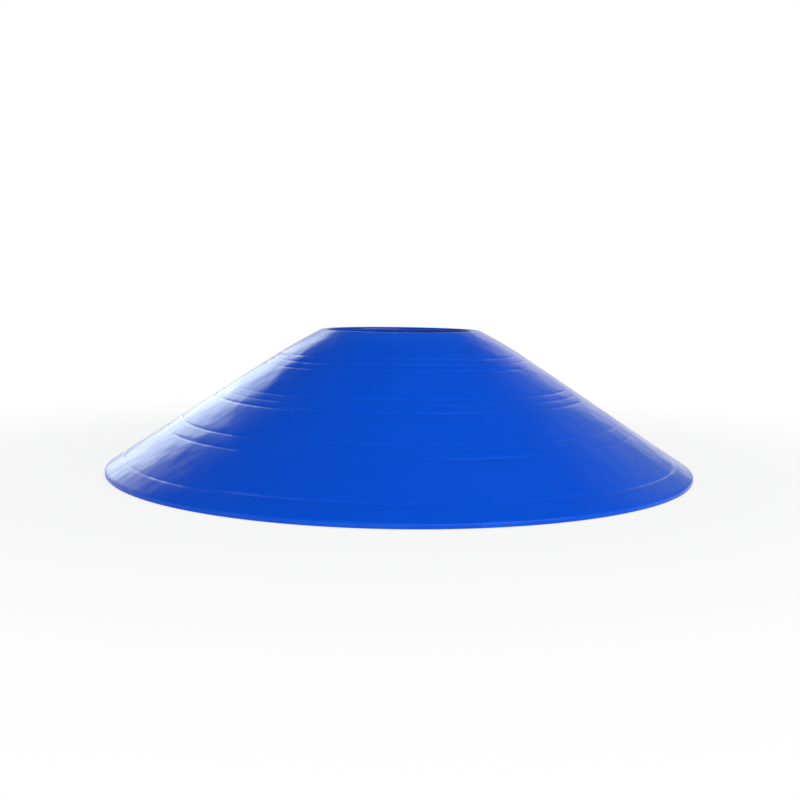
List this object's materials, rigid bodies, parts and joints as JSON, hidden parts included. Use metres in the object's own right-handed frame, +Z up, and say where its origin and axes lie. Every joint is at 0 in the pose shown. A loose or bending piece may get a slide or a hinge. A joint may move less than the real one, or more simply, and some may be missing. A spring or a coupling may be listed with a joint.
{
  "type": "sports marker disc",
  "caption": "Low open-topped marker cone in soft blue polyethylene, with a round hole, a flat foot round its rim and fine scored rings, for marking out pitches and drills.",
  "frame": {"origin": "on the ground plane, at the middle of the rim", "axes": "+Z up along the cone's axis, through the middle of the hole; X and Y are free, because the disc is round"},
  "size_m": [0.19, 0.19, 0.045],
  "materials": {
    "blue_polyethylene": "satin"
  },
  "bodies": {
    "root": {"marker_disc": "blue_polyethylene"}
  },
  "joints": []
}
